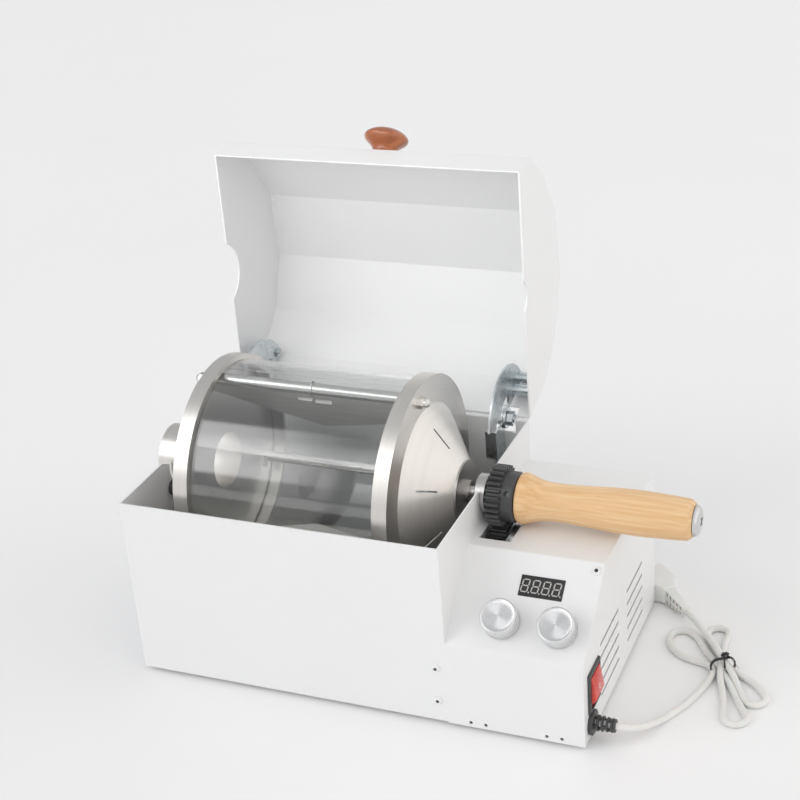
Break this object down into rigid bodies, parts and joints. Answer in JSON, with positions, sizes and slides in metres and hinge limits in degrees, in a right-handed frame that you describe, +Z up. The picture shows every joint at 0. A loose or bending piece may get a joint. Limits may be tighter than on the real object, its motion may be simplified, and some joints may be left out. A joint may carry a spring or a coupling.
{
  "type": "home coffee bean roaster",
  "caption": "Countertop coffee roaster: a motor-driven glass drum with a wooden handle turns over heater tubes in a white sheet-metal box with a hinged lid and control panel.",
  "frame": {"origin": "middle of the bounding box's footprint, at the height of the feet's soles, without the mains cord", "axes": "+X along the drum towards the wooden handle, +Y towards the lid's hinge, +Z up; the lid stands open at rest"},
  "size_m": [0.444, 0.2808, 0.3484],
  "materials": {
    "white_coat": "matt powder coat",
    "stainless": "brushed stainless",
    "dark_hub": "darkened steel",
    "zinc_plate": "bright zinc plating",
    "heater_sheath": "heat-tinted sheath",
    "ceramic": null,
    "glass": "clear borosilicate glass",
    "bearing_steel": "ground steel",
    "black_plastic": "moulded nylon",
    "beech": "oiled, turned beech",
    "brass": "turned",
    "end_cap_steel": "polished",
    "lacquered_wood": "red-brown gloss lacquer",
    "knob_aluminium": "spun, satin",
    "red_plastic": "glossy, translucent red",
    "display_black": "glossy",
    "circuit_board": "solder mask",
    "foot_rubber": "soft, pale",
    "cord_jacket": "white PVC"
  },
  "bodies": {
    "root": {"body_wrap": "white_coat", "left_end_plate": "white_coat", "right_end_plate": "white_coat", "case_screws": "zinc_plate", "rubber_feet": "foot_rubber", "reflector_tray": "stainless", "heater_tubes": "heater_sheath", "heater_holders": "ceramic", "roller_pins": "stainless", "shaft_bearing": "bearing_steel", "control_cover": "white_coat", "control_base": "white_coat", "display_module": "display_black", "display_board": "circuit_board", "potentiometers": "black_plastic", "rocker_housing": "black_plastic", "gear_motor": "bearing_steel", "motor_bracket": "zinc_plate", "control_board": "circuit_board", "hinge_brackets": "zinc_plate", "pivot_bolts": "zinc_plate", "strain_relief": "black_plastic", "power_cord": "cord_jacket", "cord_hank": "cord_jacket", "cord_tie": "black_plastic", "power_plug": "cord_jacket"},
    "lid": {"lid_shell": "white_coat", "lid_left_end": "white_coat", "lid_right_end": "white_coat", "lid_stays": "zinc_plate", "stay_bolts": "zinc_plate", "lid_knob": "lacquered_wood", "knob_screw": "zinc_plate"},
    "drum": {"left_flange": "stainless", "right_flange": "stainless", "glass_cylinder": "glass", "drum_cone": "stainless", "hub_plate": "dark_hub", "tie_rods": "stainless", "rod_sleeves": "stainless", "acorn_nuts": "stainless", "stirring_vanes": "stainless", "filler_tube": "stainless", "drum_shaft": "stainless", "drum_gear": "black_plastic", "gear_collar": "black_plastic", "set_screw": "zinc_plate", "shaft_nut": "stainless"},
    "handle": {"wooden_handle": "beech", "handle_bush": "brass", "handle_end_cap": "end_cap_steel"},
    "pinion": {"drive_pinion": "black_plastic", "motor_shaft": "stainless"},
    "front_roller": {"front_roller": "black_plastic"},
    "rear_roller": {"rear_roller": "black_plastic"},
    "left_knob": {"left_knob": "knob_aluminium", "left_knob_shaft": "brass"},
    "right_knob": {"right_knob": "knob_aluminium", "right_knob_shaft": "brass"},
    "rocker": {"rocker_button": "red_plastic"}
  },
  "joints": [
    {"name": "lid_hinge", "type": "hinge", "parent": "root", "child": "lid", "pos_m": [-0.07145, 0.05467, 0.14], "axis": [1, 0, 0], "range_deg": [0, 90]},
    {"name": "drum_spin", "type": "hinge", "parent": "root", "child": "drum", "pos_m": [-0.07145, -0.04463, 0.132], "axis": [1, 0, 0], "continuous": true},
    {"name": "handle_spin", "type": "hinge", "parent": "drum", "child": "handle", "pos_m": [0.07395, -0.04463, 0.132], "axis": [1, 0, 0], "continuous": true},
    {"name": "pinion_spin", "type": "hinge", "parent": "root", "child": "pinion", "pos_m": [0.05445, -0.04463, 0.1005], "axis": [1, 0, 0], "continuous": true},
    {"name": "front_roller_spin", "type": "hinge", "parent": "root", "child": "front_roller", "pos_m": [-0.19145, -0.06958, 0.1176], "axis": [1, 0, 0], "continuous": true},
    {"name": "rear_roller_spin", "type": "hinge", "parent": "root", "child": "rear_roller", "pos_m": [-0.19145, -0.01969, 0.1176], "axis": [1, 0, 0], "continuous": true},
    {"name": "left_knob_turn", "type": "hinge", "parent": "root", "child": "left_knob", "pos_m": [0.08455, -0.12182, 0.08089], "axis": [0, -0.623, 0.7822], "range_deg": [-150, 150]},
    {"name": "right_knob_turn", "type": "hinge", "parent": "root", "child": "right_knob", "pos_m": [0.12405, -0.12182, 0.08089], "axis": [0, -0.623, 0.7822], "range_deg": [-150, 150]},
    {"name": "rocker_tilt", "type": "hinge", "parent": "root", "child": "rocker", "pos_m": [0.14335, -0.11703, 0.0386], "axis": [0, 1, 0], "range_deg": [-16, 0]}
  ],
  "couplings": [
    {"joint": "pinion_spin", "follows": "drum_spin", "ratio": -1.8},
    {"joint": "front_roller_spin", "follows": "drum_spin", "ratio": -3.75},
    {"joint": "rear_roller_spin", "follows": "drum_spin", "ratio": -3.75}
  ]
}
